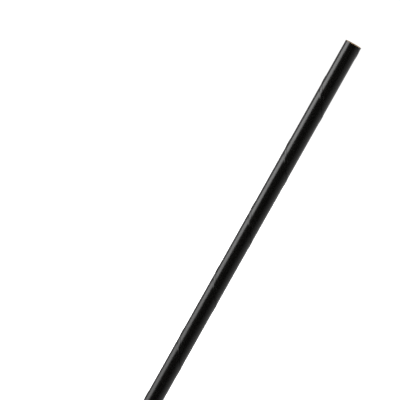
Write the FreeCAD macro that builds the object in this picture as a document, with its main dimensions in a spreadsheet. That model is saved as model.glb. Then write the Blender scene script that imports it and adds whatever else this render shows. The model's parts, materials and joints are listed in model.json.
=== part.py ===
"""A straight paper drinking straw, standing on its square-cut dipping end.

The straw is one piece: three strips of paper, wound round a mandrel in a left-handed spiral, glued
into one wall and cut square to length. Its length runs up along Z, with the drinking end at the
top. The origin is in the middle of the end that it stands on.

Outside, each turn of the outer strip laps over the one below it, which leaves a low ridge with a
cut edge on its upper side and a slope on the other. Inside, the turns of the inner strip meet with
a narrow gap, which leaves a shallow groove.
"""

import FreeCAD, Part
import os
import Sketcher

SIZES = (
    ("straw_length", "197", "cut length, end to end"),
    ("outer_diameter", "6", "over the plain wall, between two laps"),
    ("outer_ply", "0.08", "thickness of the coloured outer strip"),
    ("middle_ply", "0.16", "thickness of the middle strip"),
    ("inner_ply", "0.16", "thickness of the inner strip"),
    ("winding_pitch", "24.75", "advance of one full turn, which a 15 mm strip has at 6 mm"),
    ("lap_width", "1.4", "flat top of the lap, along the straw"),
    ("lap_slope", "0.9", "slope where the outer strip climbs the lap, along the straw"),
    ("lap_from_end", "22.6", "from the drinking end down to the lap's edge, on the +X side"),
    ("inner_gap", "0.3", "gap between the inner strip's turns, along the straw"),
)

OUTER_RADIUS = "Sizes.outer_diameter / 2"
WALL = "(Sizes.outer_ply + Sizes.middle_ply + Sizes.inner_ply)"
INNER_RADIUS = f"{OUTER_RADIUS} - {WALL}"

# The winding starts two turns past the drinking end, so the spiral is whole at both cuts.
SPARE_TURNS = "2 * Sizes.winding_pitch"
LAP_EDGE = f"Sizes.straw_length + {SPARE_TURNS} - Sizes.lap_from_end"
WOUND_LENGTH = f"Sizes.straw_length + {SPARE_TURNS}"
# The strips are staggered, so the inner gap lies half a turn from the lap.
GAP_EDGE = f"{LAP_EDGE} - Sizes.winding_pitch / 2"


def size_sheet(doc):
    """The driving dimensions, in millimetres."""
    sheet = doc.addObject("Spreadsheet::Sheet", "Sizes")
    for row, (name, value, note) in enumerate(SIZES, start=1):
        sheet.set(f"A{row}", name)
        sheet.set(f"B{row}", value)
        sheet.set(f"C{row}", note)
        sheet.setAlias(f"B{row}", name)
    doc.recompute()
    return sheet


def origin_feature(body, role):
    """One of the body's own origin planes or axes."""
    return next(feature for feature in body.Origin.OriginFeatures if feature.Role == role)


def new_sketch(body, name, plane):
    sketch = body.newObject("Sketcher::SketchObject", name)
    sketch.AttachmentSupport = (origin_feature(body, plane), [""])
    sketch.MapMode = "FlatFace"
    return sketch


def bind(sketch, constraint, name, expression):
    """Adds a named constraint and ties it to the size sheet."""
    index = sketch.addConstraint(constraint)
    sketch.renameConstraint(index, name)
    sketch.setExpression(f"Constraints.{name}", expression)


def add_circle(sketch, name, radius):
    """A circle round the sketch's origin."""
    start_radius = 1
    centre = FreeCAD.Vector(0, 0, 0)
    normal = FreeCAD.Vector(0, 0, 1)
    circle = sketch.addGeometry(Part.Circle(centre, normal, start_radius))
    sketch.addConstraint(Sketcher.Constraint("Coincident", circle, 3, -1, 1))
    bind(sketch, Sketcher.Constraint("Radius", circle, start_radius), name, radius)


def add_outline(sketch, name, corners):
    """A closed outline whose corners are given as (out from the straw's axis, up from its foot)."""
    start = [FreeCAD.Vector(place, place * place, 0) for place in range(1, len(corners) + 1)]
    lines = [
        sketch.addGeometry(Part.LineSegment(point, start[(place + 1) % len(start)]))
        for place, point in enumerate(start)
    ]
    for place, line in enumerate(lines):
        following = lines[(place + 1) % len(lines)]
        sketch.addConstraint(Sketcher.Constraint("Coincident", line, 2, following, 1))
    for place, (line, (out, up)) in enumerate(zip(lines, corners)):
        corner = start[place]
        across = Sketcher.Constraint("DistanceX", -1, 1, line, 1, corner.x)
        upward = Sketcher.Constraint("DistanceY", -1, 1, line, 1, corner.y)
        bind(sketch, across, f"{name}_out_{place}", out)
        bind(sketch, upward, f"{name}_up_{place}", up)


def wall(body):
    """The plain tube that the three glued strips make."""
    ring = new_sketch(body, "WallSection", "XY_Plane")
    add_circle(ring, "outer_radius", OUTER_RADIUS)
    add_circle(ring, "inner_radius", INNER_RADIUS)
    tube = body.newObject("PartDesign::Pad", "Wall")
    tube.Profile = ring
    tube.setExpression("Length", "Sizes.straw_length")


def spiral(body, kind, name, section):
    """A left-handed helix of the section, from above the drinking end to below the foot."""
    feature = body.newObject(f"PartDesign::{kind}", name)
    feature.Profile = section
    feature.ReferenceAxis = (origin_feature(body, "Z_Axis"), [""])
    feature.Mode = "pitch-height-angle"
    feature.LeftHanded = True
    feature.Reversed = True
    feature.setExpression("Pitch", "Sizes.winding_pitch")
    feature.setExpression("Height", WOUND_LENGTH)
    return feature


def outer_lap(body):
    """The ridge where each turn of the outer strip lies on the edge of the one below."""
    foot = f"{OUTER_RADIUS} - Sizes.outer_ply / 2"
    top = f"{OUTER_RADIUS} + Sizes.outer_ply"
    slope_start = f"{LAP_EDGE} - Sizes.lap_width"
    # The slope goes on as far as the foot, half a ply under the surface.
    slope_foot = f"{slope_start} - 1.5 * Sizes.lap_slope"
    section = new_sketch(body, "LapSection", "XZ_Plane")
    corners = ((foot, LAP_EDGE), (top, LAP_EDGE), (top, slope_start), (foot, slope_foot))
    add_outline(section, "lap", corners)
    return spiral(body, "AdditiveHelix", "OuterLap", section)


def inner_seam(body):
    """The groove between two turns of the inner strip, as deep as that strip."""
    floor = f"{INNER_RADIUS} + Sizes.inner_ply"
    mouth = f"{INNER_RADIUS} - Sizes.inner_ply"
    far_side = f"{GAP_EDGE} - Sizes.inner_gap"
    section = new_sketch(body, "SeamSection", "XZ_Plane")
    corners = ((mouth, GAP_EDGE), (floor, GAP_EDGE), (floor, far_side), (mouth, far_side))
    add_outline(section, "seam", corners)
    return spiral(body, "SubtractiveHelix", "InnerSeam", section)


def end_cuts(body):
    """The square cut at each end, which takes off what was wound past it."""
    clear_radius = f"{OUTER_RADIUS} + 2 * Sizes.outer_ply"
    section = new_sketch(body, "CutSection", "XZ_Plane")
    ends = (("drinking_end", "Sizes.straw_length", f"Sizes.straw_length + {SPARE_TURNS}"),
            ("dipping_end", "0", f"-{SPARE_TURNS}"))
    for name, cut, past in ends:
        corners = (("0", cut), ("0", past), (clear_radius, past), (clear_radius, cut))
        add_outline(section, name, corners)
    cuts = body.newObject("PartDesign::Groove", "EndCuts")
    cuts.Profile = section
    cuts.ReferenceAxis = (origin_feature(body, "Z_Axis"), [""])
    cuts.Angle = 360
    return cuts


def straw(doc):
    """The whole straw, as its features in turn make it."""
    body = doc.addObject("PartDesign::Body", "Straw")
    body.Label = "straw"
    wall(body)
    outer_lap(body)
    inner_seam(body)
    body.Tip = end_cuts(body)
    return body


def check(doc, pieces):
    """Stops if a feature failed, or a piece has no sound shape."""
    for item in doc.Objects:
        if "Invalid" in item.State or "Error" in item.State:
            raise RuntimeError(f"{item.Label} failed: {item.State}")
    for piece in pieces:
        if piece.Shape.isNull() or not piece.Shape.isValid():
            raise RuntimeError(f"{piece.Label} has no valid shape")
        if len(piece.Shape.Solids) != 1:
            raise RuntimeError(f"{piece.Label} has {len(piece.Shape.Solids)} solids")


def main():
    doc = FreeCAD.newDocument("DrinkingStraw")
    size_sheet(doc)
    pieces = [straw(doc)]
    doc.recompute()
    check(doc, pieces)
    os.makedirs("parts", exist_ok=True)
    for piece in pieces:
        piece.Shape.exportStep(f"parts/{piece.Label}.step")
        # The plain bounding box also takes in the poles of the helical faces.
        box = piece.Shape.optimalBoundingBox(False, False)
        print(f"{piece.Label}: {piece.Shape.Volume:.2f} mm3, {box.XLength:.2f} x {box.YLength:.2f}"
              f" x {box.ZLength:.2f} mm, lowest point {box.ZMin:.3f} mm")


main()
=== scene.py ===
"""A black paper drinking straw, standing on a white studio floor.

The straw is three strips of paper, wound in a left-handed spiral and glued into one wall: a dyed
black strip outside, which laps over its own edge at each turn, and two of natural paper inside.
"""

import json
import math

import bmesh
import bpy
from bpy.props import FloatProperty, FloatVectorProperty, IntProperty, PointerProperty
from mathutils import Matrix, Vector, noise


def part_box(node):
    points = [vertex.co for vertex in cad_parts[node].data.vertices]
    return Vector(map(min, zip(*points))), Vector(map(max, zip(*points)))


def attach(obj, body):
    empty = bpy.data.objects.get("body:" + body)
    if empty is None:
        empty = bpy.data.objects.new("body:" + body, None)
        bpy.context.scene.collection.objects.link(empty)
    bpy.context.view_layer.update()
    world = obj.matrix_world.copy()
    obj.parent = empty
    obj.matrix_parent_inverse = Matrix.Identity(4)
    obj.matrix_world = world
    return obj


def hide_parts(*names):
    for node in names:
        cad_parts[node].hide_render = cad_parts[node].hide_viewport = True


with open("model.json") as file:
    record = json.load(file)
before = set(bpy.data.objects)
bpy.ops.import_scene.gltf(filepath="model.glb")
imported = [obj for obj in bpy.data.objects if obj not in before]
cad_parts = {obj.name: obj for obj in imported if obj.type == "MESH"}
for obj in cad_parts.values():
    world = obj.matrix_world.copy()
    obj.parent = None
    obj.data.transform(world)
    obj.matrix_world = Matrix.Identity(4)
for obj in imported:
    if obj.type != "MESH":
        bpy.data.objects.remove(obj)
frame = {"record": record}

bl_info = {
    "name": "Paper drinking straw",
    "version": (1, 0, 0),
    "blender": (4, 5, 0),
    "location": "3D View > Sidebar > Straw",
    "description": "Winds a black paper drinking straw and lights it on a white floor",
    "category": "Add Mesh",
}

MM = 0.001
NODE = "straw"
STRIP_MAP = "strip_mm"

# Points nearer to each other than this are made one.
WELD = 0.001 * MM

# Which surface of the straw a face belongs to, as its material index.
OUTSIDE, CUT_END, INSIDE = range(3)


def mount_radius(name):
    """The radius of one of the record's round mounts, in metres."""
    mount = next(mount for mount in frame["record"]["mounts"] if mount["name"] == name)
    return mount["dims"]["r_mm"] * MM


def linear(hex_code):
    """A colour written as sRGB hex, as linear red, green, blue and alpha."""
    shares = [int(hex_code[place:place + 2], 16) / 255 for place in (1, 3, 5)]
    return tuple(s / 12.92 if s <= 0.04045 else ((s + 0.055) / 1.055) ** 2.4 for s in shares) + (1,)


LOW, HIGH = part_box(NODE)
LAP_RADIUS = (HIGH.x - LOW.x) / 2
OUTER_RADIUS = mount_radius("outside")
INNER_RADIUS = mount_radius("bore")


def size(name, description, default):
    """A length, in metres."""
    return FloatProperty(name=name, description=description, default=default, unit="LENGTH",
                         precision=5)


def colour(name, description, default):
    """A colour, with its default written as sRGB hex."""
    return FloatVectorProperty(name=name, description=description, default=linear(default),
                               size=4, subtype="COLOR", min=0, max=1)


class StrawSizes(bpy.types.PropertyGroup):
    """Sizes of the wound paper."""
    pitch: size("Winding pitch", "Advance of one full turn", 24.75 * MM)
    outer_ply: size("Outer strip", "Thickness of the black strip", LAP_RADIUS - OUTER_RADIUS)
    middle_ply: size("Middle strip", "Thickness of the middle strip", 0.16 * MM)
    inner_ply: size("Inner strip", "Thickness of the inner strip", 0.16 * MM)
    lap_width: size("Lap width", "Flat top of the lap, along the straw", 1.4 * MM)
    lap_slope: size("Lap slope", "Where the strip climbs the lap, along the straw", 0.9 * MM)
    lap_from_end: size("Lap from end", "Drinking end down to the lap's edge, at +X", 22.6 * MM)
    inner_gap: size("Inner gap", "Gap between the inner strip's turns", 0.3 * MM)
    edge_press: size("Edge pressing", "How far the lap's edge is pressed down", 0.03 * MM)
    edge_roll: size("Edge roll", "Width of the pressed edge, along the straw", 0.14 * MM)
    waviness: size("Waviness", "How far the wall strays from a true cylinder", 0.004 * MM)
    edge_wander: size("Edge wander", "How far the slit edge strays from its line", 0.03 * MM)
    steps_round: IntProperty(name="Steps round", description="Segments in one turn",
                             default=96, min=24)


class StrawColours(bpy.types.PropertyGroup):
    """Colours of the paper and of the studio."""
    black: colour("Black paper", "Dyed outer strip", "#0c0b09")
    black_worn: colour("Rubbed black", "Thin spots in the dye", "#131210")
    core: colour("Core paper", "Natural paper of the two inner strips", "#dcc39b")
    core_dark: colour("Core fibres", "Darker fibres in the natural paper", "#bfa274")
    glue: colour("Glue line", "Dried glue between two strips", "#8c7a5e")
    floor: colour("Floor", "Studio floor and backdrop", "#f2f2f2")


class StudioSizes(bpy.types.PropertyGroup):
    """The camera and the floor."""
    azimuth: FloatProperty(name="Azimuth", description="Round the straw, 0 looks along +Y",
                           default=math.radians(65), subtype="ANGLE")
    elevation: FloatProperty(name="Elevation", description="Looks down by this much",
                             default=math.radians(5), subtype="ANGLE")
    lean: FloatProperty(name="Lean", description="How far the straw leans over in the picture",
                        default=math.radians(29.3), subtype="ANGLE")
    distance: FloatProperty(name="Distance", description="Camera to what it looks at",
                            default=2.4, unit="LENGTH")
    view_width: FloatProperty(name="View width", description="Seen across the picture",
                              default=136 * MM, unit="LENGTH", precision=4)
    floor_radius: FloatProperty(name="Floor radius", description="Floor to the backdrop's foot",
                                default=5.0, unit="LENGTH")
    wall_height: FloatProperty(name="Backdrop height", description="Height of the backdrop",
                               default=0.5, unit="LENGTH")


def add_node(tree, kind, links=None, **settings):
    """Adds a node. links gives an input's name or number a value or another node's output."""
    made = tree.nodes.new(kind)
    for name, value in settings.items():
        setattr(made, name, value)
    for name, value in (links or {}).items():
        if isinstance(value, bpy.types.NodeSocket):
            tree.links.new(value, made.inputs[name])
        else:
            made.inputs[name].default_value = value
    return made


def new_material(name):
    """An empty node material, its tree and its output node."""
    material = bpy.data.materials.new(name)
    material.use_nodes = True
    tree = material.node_tree
    tree.nodes.clear()
    return material, tree, add_node(tree, "ShaderNodeOutputMaterial")


def strip_pattern(tree, length, width):
    """Noise drawn out along the paper strip, with spots of that length and width in mm.

    A paper fibre is about 0.03 mm wide. The fibres of the two papers are drawn three or four times
    as wide, because finer ones wouldn't show.
    """
    strip = add_node(tree, "ShaderNodeUVMap", uv_map=STRIP_MAP)
    drawn = add_node(tree, "ShaderNodeMapping",
                     {"Vector": strip.outputs["UV"], "Scale": (1 / length, 1 / width, 1)})
    return add_node(tree, "ShaderNodeTexNoise",
                    {"Vector": drawn.outputs["Vector"], "Scale": 1, "Detail": 3,
                     "Roughness": 0.6}).outputs["Fac"]


def spread(tree, value, low, high):
    """Maps noise, most of which lies from 0.3 to 0.7, to the given range."""
    return add_node(tree, "ShaderNodeMapRange",
                    {"Value": value, "From Min": 0.3, "From Max": 0.7, "To Min": low,
                     "To Max": high}).outputs["Result"]


def mixed(tree, share, first, second):
    """A colour between two others."""
    return add_node(tree, "ShaderNodeMix",
                    {"Factor": share, "A": first, "B": second},
                    data_type="RGBA").outputs["Result"]


def black_dyed_paper(colours):
    """Calendered paper, dyed black: a smooth satin face on which the fibres barely show."""
    material, tree, output = new_material("black_dyed_paper")
    cloudy = strip_pattern(tree, length=4, width=2)
    fibres = strip_pattern(tree, length=0.5, width=0.09)
    paper = add_node(tree, "ShaderNodeBsdfPrincipled", {"IOR": 1.5})
    worn = mixed(tree, spread(tree, fibres, 0, 1), tuple(colours.black), tuple(colours.black_worn))
    tree.links.new(worn, paper.inputs["Base Color"])
    tree.links.new(spread(tree, cloudy, 0.24, 0.29), paper.inputs["Roughness"])
    relief = add_node(tree, "ShaderNodeBump",
                      {"Height": fibres, "Strength": 1, "Distance": 0.002 * MM})
    tree.links.new(relief.outputs["Normal"], paper.inputs["Normal"])
    tree.links.new(paper.outputs["BSDF"], output.inputs["Surface"])
    return material


def natural_paper(colours):
    """Uncoated paper in its own colour: matt, with longer fibres in it."""
    material, tree, output = new_material("natural_paper")
    fibres = strip_pattern(tree, length=1.2, width=0.12)
    paper = add_node(tree, "ShaderNodeBsdfPrincipled", {"IOR": 1.45, "Roughness": 0.85})
    tone = mixed(tree, spread(tree, fibres, 0, 1), tuple(colours.core_dark), tuple(colours.core))
    tree.links.new(tone, paper.inputs["Base Color"])
    relief = add_node(tree, "ShaderNodeBump",
                      {"Height": fibres, "Strength": 1, "Distance": 0.008 * MM})
    tree.links.new(relief.outputs["Normal"], paper.inputs["Normal"])
    tree.links.new(paper.outputs["BSDF"], output.inputs["Surface"])
    return material


def cut_plies(colours, sizes):
    """The knife cut through the wall: two pale strips, the glue between them, the black one outside."""
    material, tree, output = new_material("cut_plies")
    place = add_node(tree, "ShaderNodeTexCoord").outputs["Object"]
    flat = add_node(tree, "ShaderNodeVectorMath", {0: place, 1: (1, 1, 0)}, operation="MULTIPLY")
    out = add_node(tree, "ShaderNodeVectorMath", {0: flat.outputs["Vector"]},
                   operation="LENGTH").outputs["Value"]
    share = add_node(tree, "ShaderNodeMapRange",
                     {"Value": out, "From Min": INNER_RADIUS, "From Max": LAP_RADIUS})
    wall = LAP_RADIUS - INNER_RADIUS
    middle_start = sizes.inner_ply / wall
    outer_start = (sizes.inner_ply + sizes.middle_ply) / wall
    glue_reach = 0.012 * MM / wall
    ramp = add_node(tree, "ShaderNodeValToRGB", {"Fac": share.outputs["Result"]})
    stops = ((0, colours.core), (middle_start - glue_reach, colours.core),
             (middle_start, colours.glue), (middle_start + glue_reach, colours.core),
             (outer_start - glue_reach, colours.core), (outer_start, colours.black_worn))
    # A new ramp already has its first two stops.
    for number, (position, shade) in enumerate(stops):
        if number < 2:
            stop = ramp.color_ramp.elements[number]
            stop.position = position
        else:
            stop = ramp.color_ramp.elements.new(position)
        stop.color = tuple(shade)
    paper = add_node(tree, "ShaderNodeBsdfPrincipled",
                     {"Base Color": ramp.outputs["Color"], "IOR": 1.45, "Roughness": 0.9})
    tree.links.new(paper.outputs["BSDF"], output.inputs["Surface"])
    return material


def wind(bm, outline, start, sizes, surface):
    """Sweeps an outline of one pitch along the spiral, and repeats it past both ends of the straw.

    The outline is (down from the strip's edge, out from the axis). start is the height where the
    edge crosses the +X side.
    """
    points = [bm.verts.new((out, 0, start - down)) for down, out in outline]
    edges = [bm.edges.new(pair) for pair in zip(points, points[1:])]
    steps = sizes.steps_round
    bmesh.ops.spin(bm, geom=points + edges, cent=(0, 0, 0), axis=(0, 0, 1), angle=math.tau,
                   dvec=(0, 0, -sizes.pitch / steps), steps=steps)
    turn = [item for item in (*bm.verts, *bm.edges, *bm.faces) if not item.tag]
    for face in bm.faces:
        if not face.tag:
            face.material_index = surface
    lowest = math.floor((LOW.z - start) / sizes.pitch) + 1
    highest = math.ceil((HIGH.z - start) / sizes.pitch) + 1
    for place in range(lowest, highest + 1):
        if place:
            copy = bmesh.ops.duplicate(bm, geom=turn)["geom"]
            verts = [item for item in copy if isinstance(item, bmesh.types.BMVert)]
            bmesh.ops.translate(bm, verts=verts, vec=(0, 0, place * sizes.pitch))
    for item in (*bm.verts, *bm.edges, *bm.faces):
        item.tag = True


def steps_between(first, last, count):
    """Evenly spaced values from first up to, but not including, last."""
    return [first + (last - first) * place / count for place in range(count)]


def outer_outline(sizes):
    """The black strip's face over one pitch: its lapped edge, the lap and the plain wall."""
    corner_steps, lap_steps, slope_steps, plain_steps = 4, 4, 8, 26
    foot, top = OUTER_RADIUS, OUTER_RADIUS + sizes.outer_ply
    press, roll = sizes.edge_press, sizes.edge_roll
    edge = [(0, foot), (0, (foot + top) / 2)]
    quarter = [math.pi / 2 * part / corner_steps for part in range(corner_steps + 1)]
    corner = [(roll * (1 - math.cos(a)), top - press * (1 - math.sin(a))) for a in quarter]
    flat_start = roll + 0.1 * MM
    lap = [(down, top) for down in steps_between(flat_start, sizes.lap_width, lap_steps)]
    slope_foot = sizes.lap_width + sizes.lap_slope
    slope = []
    for down in steps_between(sizes.lap_width, slope_foot, slope_steps):
        share = (down - sizes.lap_width) / sizes.lap_slope
        slope.append((down, top - sizes.outer_ply * share * share * (3 - 2 * share)))
    plain = [(down, foot) for down in steps_between(slope_foot, sizes.pitch, plain_steps)]
    return edge + corner + lap + slope + plain + [(sizes.pitch, foot)]


def inner_outline(sizes):
    """The inner strip's face over one pitch, with the gap that its turns leave."""
    face, floor = INNER_RADIUS, INNER_RADIUS + sizes.inner_ply
    gap = [(0, face), (0, floor), (sizes.inner_gap, floor), (sizes.inner_gap, face)]
    plain_steps = 14
    plain = [(down, face)
             for down in steps_between(sizes.inner_gap, sizes.pitch, plain_steps)[1:]]
    return gap + plain + [(sizes.pitch, face)]


def cut_square(bm):
    """Cuts both ends off at the straw's length."""
    for end, outward in ((HIGH.z, 1), (LOW.z, -1)):
        geometry = (*bm.verts, *bm.edges, *bm.faces)
        bmesh.ops.bisect_plane(bm, geom=geometry, dist=WELD, plane_co=(0, 0, end),
                               plane_no=(0, 0, outward), clear_outer=True)


def radius_of(vert):
    """How far a point is from the straw's axis."""
    return math.hypot(vert.co.x, vert.co.y)


def open_edges(bm, height):
    """The edges at that height which only one face uses."""
    near = 0.01 * MM
    return [edge for edge in bm.edges
            if edge.is_boundary and abs(edge.verts[0].co.z - height) < near]


def cut_faces(bm, sizes):
    """Closes the wall at both ends, with a shallow dip where the black strip is glued on.

    The rings shrink towards the middle strip. Where they pass the lap's step, points of a ring come
    together, so they are welded before the rest is filled.
    """
    middle = (INNER_RADIUS + OUTER_RADIUS) / 2
    outer_foot = OUTER_RADIUS - sizes.outer_ply
    dip = 0.008 * MM
    ring_weld = 0.003 * MM
    # Each ring's radius, and how deep it lies in the cut.
    rings = ((OUTER_RADIUS - sizes.outer_ply / 2, 0), (outer_foot, dip),
             (outer_foot - sizes.middle_ply / 2, 0))
    for end, outward in ((HIGH.z, 1), (LOW.z, -1)):
        outer = [edge for edge in open_edges(bm, end) if radius_of(edge.verts[0]) > middle]
        for radius, depth in rings:
            made = bmesh.ops.extrude_edge_only(bm, edges=outer)["geom"]
            for vert in (item for item in made if isinstance(item, bmesh.types.BMVert)):
                scale = radius / radius_of(vert)
                vert.co = (vert.co.x * scale, vert.co.y * scale, end - outward * depth)
            for face in (item for item in made if isinstance(item, bmesh.types.BMFace)):
                face.material_index = CUT_END
            outer = [edge for edge in made
                     if isinstance(edge, bmesh.types.BMEdge) and edge.is_boundary]
        bmesh.ops.remove_doubles(bm, verts=bm.verts, dist=ring_weld)
        filled = bmesh.ops.triangle_fill(bm, edges=open_edges(bm, end), normal=(0, 0, 1))["geom"]
        for face in (item for item in filled if isinstance(item, bmesh.types.BMFace)):
            face.material_index = CUT_END
    bmesh.ops.dissolve_degenerate(bm, dist=WELD, edges=bm.edges)


def disturb(bm, sizes):
    """Lets the wall stray a little from a true cylinder, and the slit edge from its line."""
    end_margin = 0.05 * MM
    wave_along, wave_round, wave_of_edge = 6 * MM, 3 * MM, 1.5 * MM
    for vert in bm.verts:
        up = vert.co.z / wave_along
        out = radius_of(vert)
        drift = noise.noise((vert.co.x / wave_round, vert.co.y / wave_round, up))
        scale = 1 + sizes.waviness * drift / out
        vert.co.x *= scale
        vert.co.y *= scale
        on_lap = out > OUTER_RADIUS + sizes.outer_ply / 4
        if on_lap and LOW.z + end_margin < vert.co.z < HIGH.z - end_margin:
            vert.co.z += sizes.edge_wander * noise.noise(vert.co / wave_of_edge)


def lay_strip_map(bm, start, sizes, surface):
    """Gives each face its place on the paper strip, in mm along and across it."""
    layer = bm.loops.layers.uv.get(STRIP_MAP) or bm.loops.layers.uv.new(STRIP_MAP)
    girth = math.tau * OUTER_RADIUS
    strip = math.hypot(girth, sizes.pitch)

    def below_edge(angle, height):
        return start - angle * sizes.pitch / math.tau - height

    for face in bm.faces:
        if face.material_index != surface:
            continue
        centre = face.calc_center_median()
        facing = math.atan2(centre.y, centre.x)
        turn = math.floor(below_edge(facing, centre.z) / sizes.pitch)
        for loop in face.loops:
            spot = loop.vert.co
            angle = math.atan2(spot.y, spot.x)
            angle = facing + math.remainder(angle - facing, math.tau)
            across = below_edge(angle, spot.z) - turn * sizes.pitch
            round_turns = girth * (angle / math.tau + turn)
            lengthwise = (round_turns * girth - spot.z * sizes.pitch) / strip
            loop[layer].uv = (lengthwise / MM, across * girth / strip / MM)


def wound_straw(sizes):
    """The whole straw as one mesh: outside, both cuts and bore."""
    crease = math.radians(40)
    bm = bmesh.new()
    lap_start = HIGH.z - sizes.lap_from_end
    gap_start = lap_start - sizes.pitch / 2
    wind(bm, outer_outline(sizes), lap_start, sizes, OUTSIDE)
    wind(bm, inner_outline(sizes), gap_start, sizes, INSIDE)
    bmesh.ops.remove_doubles(bm, verts=bm.verts, dist=WELD)
    cut_square(bm)
    cut_faces(bm, sizes)
    disturb(bm, sizes)
    bmesh.ops.recalc_face_normals(bm, faces=bm.faces)
    lay_strip_map(bm, lap_start, sizes, OUTSIDE)
    lay_strip_map(bm, gap_start, sizes, INSIDE)
    mesh = bpy.data.meshes.new("wound_paper_straw")
    bm.to_mesh(mesh)
    bm.free()
    mesh.shade_smooth()
    mesh.set_sharp_from_angle(angle=crease)
    return mesh


class STRAW_OT_wind(bpy.types.Operator):
    """Wind the straw from its strips of paper"""
    bl_idname = "straw.wind"
    bl_label = "Wind the straw"

    def execute(self, context):
        sizes, colours = context.scene.straw_sizes, context.scene.straw_colours
        mesh = wound_straw(sizes)
        for material in (black_dyed_paper(colours), cut_plies(colours, sizes),
                         natural_paper(colours)):
            mesh.materials.append(material)
        straw = bpy.data.objects.new("wound_paper_straw", mesh)
        context.scene.collection.objects.link(straw)
        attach(straw, "root")
        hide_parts(NODE)
        return {"FINISHED"}


def white_floor_with_painted_reflection(studio, colours):
    """Matt white studio paper. It shows as white, with the straw's soft shadow on it.

    In reflections alone it glows as a painted reflection: white behind the straw, fading out to
    painted darkness towards the side the camera looks from, so that the front of the straw stays
    black. It fades out sooner on the left, which keeps that edge of the straw dark beside the satin
    line. Below the lamp that draws this line, a painted pool of light makes it about as bright as the
    lamp.
    """
    material, tree, output = new_material("white_paper_with_painted_reflection")
    seen = add_node(tree, "ShaderNodeLightPath")
    floor = add_node(tree, "ShaderNodeBsdfDiffuse", {"Color": tuple(colours.floor)})
    place = add_node(tree, "ShaderNodeNewGeometry").outputs["Position"]
    away = add_node(tree, "ShaderNodeVectorMath", {0: place}, operation="LENGTH")
    # This fill keeps the floor white for the camera where the lamps fall off. Round the straw it
    # is low, so that the shadow keeps its depth.
    filling = add_node(tree, "ShaderNodeMapRange",
                       {"Value": away.outputs["Value"], "From Min": 0.15, "From Max": 0.6,
                        "To Min": 0.1, "To Max": 1}, interpolation_type="SMOOTHSTEP")
    fill = add_node(tree, "ShaderNodeEmission",
                    {"Color": (1, 1, 1, 1), "Strength": filling.outputs["Result"]})
    lifted = add_node(tree, "ShaderNodeAddShader",
                      {0: floor.outputs["BSDF"], 1: fill.outputs["Emission"]})
    flat = add_node(tree, "ShaderNodeVectorMath", {0: place, 1: (1, 1, 0)}, operation="MULTIPLY")
    outward = add_node(tree, "ShaderNodeVectorMath", {0: flat.outputs["Vector"]},
                       operation="NORMALIZE")
    # The painted reflection fades by the cosine of the angle from its darkest side. It ends past the
    # far side, at less than -1, so that the floor there is a little under white in reflections.
    darkest = studio.azimuth - math.radians(32)
    front = (math.sin(darkest), -math.cos(darkest), 0)
    towards_front = add_node(tree, "ShaderNodeVectorMath",
                             {0: outward.outputs["Vector"], 1: front}, operation="DOT_PRODUCT")
    painted_reflection_fade = add_node(tree, "ShaderNodeMapRange",
                      {"Value": towards_front.outputs["Value"], "From Min": 0.45,
                       "From Max": -1.15, "To Min": 0.01, "To Max": 1})
    # Painted pool of light beside the side lamp, seen only in reflections: as bright as that lamp.
    painted_pool_strength = 2.8
    beside = studio.azimuth - math.radians(83)
    lamp_side = (math.sin(beside), -math.cos(beside), 0)
    towards_lamp = add_node(tree, "ShaderNodeVectorMath",
                            {0: outward.outputs["Vector"], 1: lamp_side}, operation="DOT_PRODUCT")
    painted_pool = add_node(tree, "ShaderNodeMapRange",
                          {"Value": towards_lamp.outputs["Value"], "From Min": 0.865,
                           "From Max": 0.965, "To Max": painted_pool_strength},
                          interpolation_type="SMOOTHSTEP")
    painted_reflection_strength = add_node(tree, "ShaderNodeMath", {0: painted_reflection_fade.outputs["Result"],
                                                 1: painted_pool.outputs["Result"]})
    # The painted reflection: emission that only glossy and transmission rays see.
    white = add_node(tree, "ShaderNodeEmission",
                     {"Color": (1, 1, 1, 1), "Strength": painted_reflection_strength.outputs["Value"]})
    glossy = add_node(tree, "ShaderNodeMath",
                      {0: seen.outputs["Is Glossy Ray"],
                       1: seen.outputs["Is Transmission Ray"]}, operation="MAXIMUM")
    by_camera = add_node(tree, "ShaderNodeMixShader",
                         {"Fac": seen.outputs["Is Camera Ray"], 1: floor.outputs["BSDF"],
                          2: lifted.outputs["Shader"]})
    by_gloss = add_node(tree, "ShaderNodeMixShader",
                        {"Fac": glossy.outputs["Value"], 1: by_camera.outputs["Shader"],
                         2: white.outputs["Emission"]})
    tree.links.new(by_gloss.outputs["Shader"], output.inputs["Surface"])
    return material


def studio_floor(studio, colours):
    """A round floor that curves up into a low backdrop all round."""
    bm = bmesh.new()
    bmesh.ops.create_circle(bm, cap_ends=True, radius=studio.floor_radius, segments=96)
    rim = [edge for edge in bm.edges if edge.is_boundary]
    cove, cove_steps = studio.wall_height / 2, 8
    for place in range(1, cove_steps + 1):
        angle = math.pi / 2 * place / cove_steps
        made = bmesh.ops.extrude_edge_only(bm, edges=rim)["geom"]
        reach = studio.floor_radius + cove * math.sin(angle)
        for vert in (item for item in made if isinstance(item, bmesh.types.BMVert)):
            flat = Vector((vert.co.x, vert.co.y, 0)).normalized() * reach
            vert.co = (flat.x, flat.y, cove * (1 - math.cos(angle)))
        rim = [edge for edge in made if isinstance(edge, bmesh.types.BMEdge) and edge.is_boundary]
    made = bmesh.ops.extrude_edge_only(bm, edges=rim)["geom"]
    bmesh.ops.translate(bm, vec=(0, 0, cove),
                        verts=[item for item in made if isinstance(item, bmesh.types.BMVert)])
    mesh = bpy.data.meshes.new("studio_floor")
    bm.to_mesh(mesh)
    bm.free()
    mesh.shade_smooth()
    mesh.materials.append(white_floor_with_painted_reflection(studio, colours))
    floor = bpy.data.objects.new("studio_floor", mesh)
    bpy.context.scene.collection.objects.link(floor)


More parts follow.
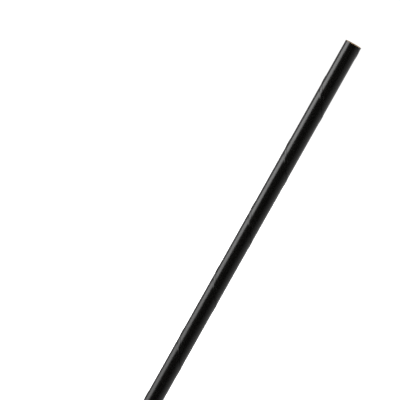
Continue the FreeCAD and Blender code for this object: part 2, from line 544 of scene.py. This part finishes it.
# Each softbox has its azimuth from the camera's and its elevation, in degrees, its distance, width
# and height in metres, and its brightness, where 1 is that of the white floor.
SOFTBOXES = {
    "key_front": (-10, 50, 1.6, 1.0, 1.0, 1.6),
    "key_back": (180, 50, 1.6, 1.0, 1.0, 7.4),
    "fill_right": (90, 45, 1.6, 1.0, 1.0, 2.0),
    "side_strip": (-77, 12, 0.55, 0.42, 0.34, 2.4),
}


def softbox(name, studio, azimuth, elevation, distance, width, height, brightness):
    """A soft lamp aimed at the straw's middle."""
    middle = Vector((0, 0, (LOW.z + HIGH.z) / 2))
    turn, rise = studio.azimuth + math.radians(azimuth), math.radians(elevation)
    level = math.cos(rise)
    direction = Vector((math.sin(turn) * level, -math.cos(turn) * level, math.sin(rise)))
    lamp = bpy.data.lights.new(name, "AREA")
    lamp.shape = "RECTANGLE"
    lamp.size, lamp.size_y = width, height
    lamp.energy = math.pi * width * height * brightness
    made = bpy.data.objects.new(name, lamp)
    made.location = middle + direction * distance
    made.rotation_mode = "QUATERNION"
    made.rotation_quaternion = direction.to_track_quat("Z", "Y")
    made.visible_camera = False
    bpy.context.scene.collection.objects.link(made)


def studio_light(studio):
    """Three high softboxes all round, and a low one that stands beside the straw.

    The high ones can't mirror in the upright straw, which mirrors only what lies level with it or
    lower. The strongest stands behind, so the wall of the bore that shows stays in shade. The low
    one and a painted pool of light on the floor beside it draw the satin line down the left side.
    """
    for name, setting in SOFTBOXES.items():
        softbox(name, studio, *setting)
    world = bpy.data.worlds.new("dim_studio")
    world.use_nodes = True
    tree = world.node_tree
    tree.nodes.clear()
    seen = add_node(tree, "ShaderNodeLightPath").outputs["Is Camera Ray"]
    dim = add_node(tree, "ShaderNodeBackground", {"Color": (1, 1, 1, 1), "Strength": 0.05})
    white = add_node(tree, "ShaderNodeBackground", {"Color": (1, 1, 1, 1), "Strength": 1})
    sky = add_node(tree, "ShaderNodeMixShader", {"Fac": seen, 1: dim.outputs["Background"],
                                                 2: white.outputs["Background"]})
    add_node(tree, "ShaderNodeOutputWorld", {"Surface": sky.outputs["Shader"]})
    bpy.context.scene.world = world


def studio_camera(studio):
    """Looks across at the straw, turned so that it leans over in the picture as in the photo."""
    end_in_picture = (353.6, 43.95)
    picture = 400
    level, rise = math.cos(studio.elevation), math.sin(studio.elevation)
    back = Vector((math.sin(studio.azimuth) * level, -math.cos(studio.azimuth) * level, rise))
    level_right = Vector((math.cos(studio.azimuth), math.sin(studio.azimuth), 0))
    level_up = back.cross(level_right)
    right = level_right * math.cos(studio.lean) + level_up * math.sin(studio.lean)
    up = back.cross(right)
    scale = studio.view_width / picture
    drinking_end = Vector((0, 0, HIGH.z))
    target = (drinking_end - right * (end_in_picture[0] - picture / 2) * scale
              - up * (picture / 2 - end_in_picture[1]) * scale)
    camera = bpy.data.cameras.new("camera")
    camera.lens = camera.sensor_width * studio.distance / studio.view_width
    made = bpy.data.objects.new("camera", camera)
    made.matrix_world = Matrix.Translation(target + back * studio.distance) @ Matrix(
        (right, up, back)).transposed().to_4x4()
    bpy.context.scene.collection.objects.link(made)
    bpy.context.scene.camera = made


class STRAW_OT_set_stage(bpy.types.Operator):
    """Lay the white floor, and set the lamps and the camera"""
    bl_idname = "straw.set_stage"
    bl_label = "Set the stage"

    def execute(self, context):
        scene = context.scene
        studio_floor(scene.straw_studio, scene.straw_colours)
        studio_light(scene.straw_studio)
        studio_camera(scene.straw_studio)
        scene.view_settings.view_transform = "Standard"
        return {"FINISHED"}


class STRAW_PT_panel(bpy.types.Panel):
    """The sizes, the colours and the steps, in order"""
    bl_idname = "STRAW_PT_panel"
    bl_label = "Paper straw"
    bl_space_type = "VIEW_3D"
    bl_region_type = "UI"
    bl_category = "Straw"

    def draw(self, context):
        for group in (context.scene.straw_sizes, context.scene.straw_colours,
                      context.scene.straw_studio):
            column = self.layout.column(align=True)
            for name in group.__annotations__:
                column.prop(group, name)
        for operator in OPERATORS:
            self.layout.operator(operator.bl_idname)


OPERATORS = (STRAW_OT_set_stage, STRAW_OT_wind)
GROUPS = {"straw_sizes": StrawSizes, "straw_colours": StrawColours, "straw_studio": StudioSizes}


def register():
    for kind in (*GROUPS.values(), *OPERATORS, STRAW_PT_panel):
        bpy.utils.register_class(kind)
    for name, kind in GROUPS.items():
        setattr(bpy.types.Scene, name, PointerProperty(type=kind))


def unregister():
    for name in GROUPS:
        delattr(bpy.types.Scene, name)
    for kind in (STRAW_PT_panel, *reversed(OPERATORS), *reversed(GROUPS.values())):
        bpy.utils.unregister_class(kind)


def main():
    """Sets the stage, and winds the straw."""
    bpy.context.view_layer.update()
    register()
    bpy.ops.straw.set_stage()
    bpy.ops.straw.wind()


if __name__ == "__main__":
    main()
